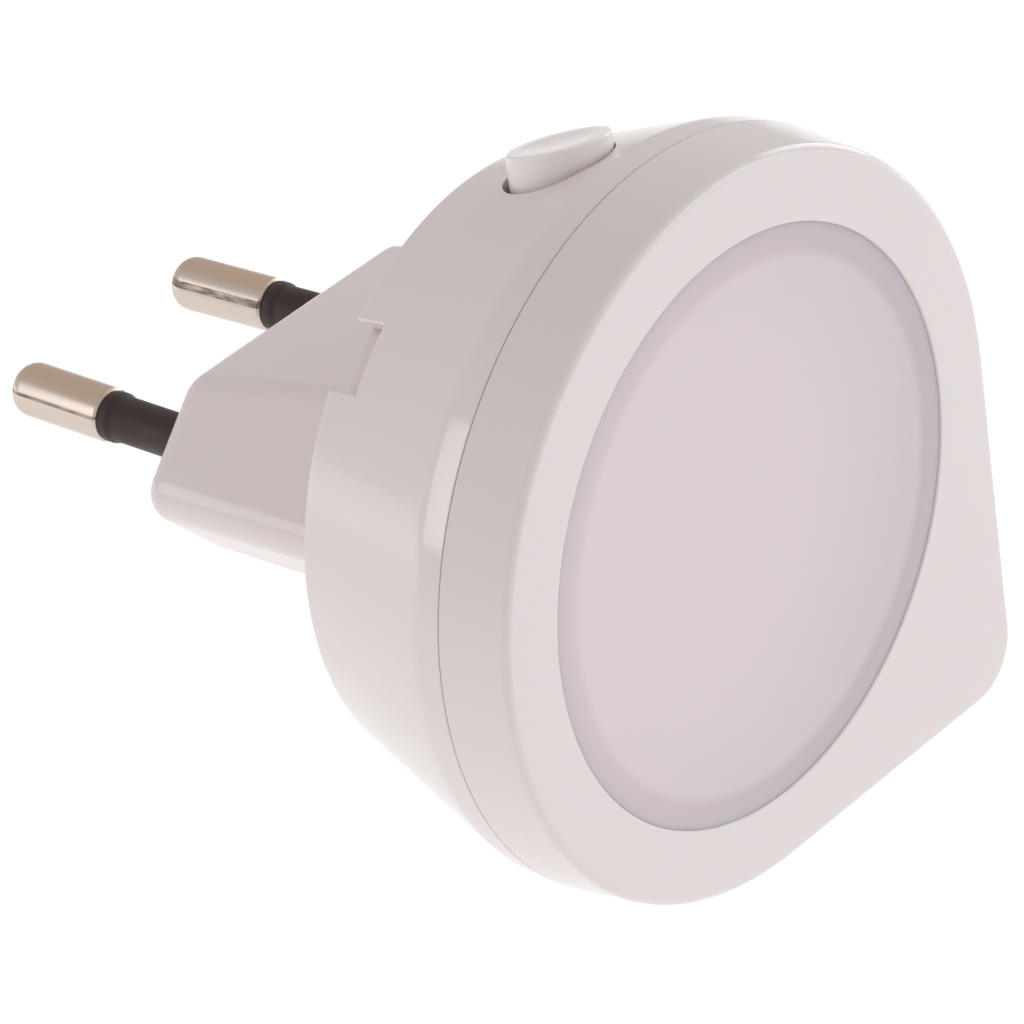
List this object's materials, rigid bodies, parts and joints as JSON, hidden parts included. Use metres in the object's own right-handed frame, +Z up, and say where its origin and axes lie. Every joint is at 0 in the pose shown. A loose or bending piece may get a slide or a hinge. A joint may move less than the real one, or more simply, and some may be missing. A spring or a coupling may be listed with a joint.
{
  "type": "plug-in night light",
  "caption": "Plug-in LED night light: round white housing with a soft square corner, milky round lens, push button on top and a flat europlug at the back.",
  "frame": {"origin": "centre of the plug's pin face, between the two pins", "axes": "+X right seen from the front, +Y into the wall along the pins, +Z up with the button on top"},
  "size_m": [0.0544, 0.0606, 0.0552],
  "materials": {
    "shell_white": "warm white moulded ABS, polished, faint moulding variation",
    "milky_lens": "milky opal diffuser, satin gloss, faint lilac cast",
    "plug_white": "warm white moulded plastic, semi-gloss",
    "nickel": "bright nickel plating on brass, warm reflections, fine drawn marks",
    "sleeve_dark": "dark brown-black insulating sleeve, satin",
    "button_white": "white moulded plastic, semi-gloss",
    "switch_nylon": "white nylon",
    "contact_brass": "bare brass strip",
    "spring_steel": "bright spring wire",
    "switch_black": "black moulded plastic",
    "board_white": "white solder mask on glass-fibre board",
    "led_phosphor": "yellow phosphor in white cups",
    "capacitor_yellow": "yellow box film capacitor",
    "capacitor_sleeve": "dark blue shrink sleeve on an aluminium can",
    "chip_black": "black epoxy",
    "resistor_green": "green flameproof lacquer",
    "resistor_blue": "light blue lacquer",
    "wire_red": "red wire insulation",
    "wire_blue": "blue wire insulation",
    "screw_zinc": "bright zinc plating"
  },
  "bodies": {
    "lamp": {"front_bezel": "shell_white", "diffuser_lens": "milky_lens", "rear_housing": "shell_white", "plug_insert": "plug_white", "pin_left": "nickel", "pin_right": "nickel", "sleeve_left": "sleeve_dark", "sleeve_right": "sleeve_dark", "switch_spring": "spring_steel", "switch_body": "switch_black", "switch_terminals": "contact_brass", "led_board": "board_white", "leds": "led_phosphor", "dropper_capacitor": "capacitor_yellow", "smoothing_capacitor": "capacitor_sleeve", "bridge_rectifier": "chip_black", "fusible_resistor": "resistor_green", "discharge_resistor": "resistor_blue", "chip_resistors": "chip_black", "wire_left": "wire_red", "wire_right": "wire_blue", "board_screws": "screw_zinc"},
    "button": {"button_cap": "button_white", "switch_plunger": "switch_nylon", "switch_contact": "contact_brass"}
  },
  "joints": [
    {"name": "button_press", "type": "slide", "parent": "lamp", "child": "button", "axis": [0, 0, -1], "range_m": [0, 0.0014], "stiffness_N_per_m": 500, "springref_m": -0.003, "deforming": ["switch_spring"]}
  ]
}
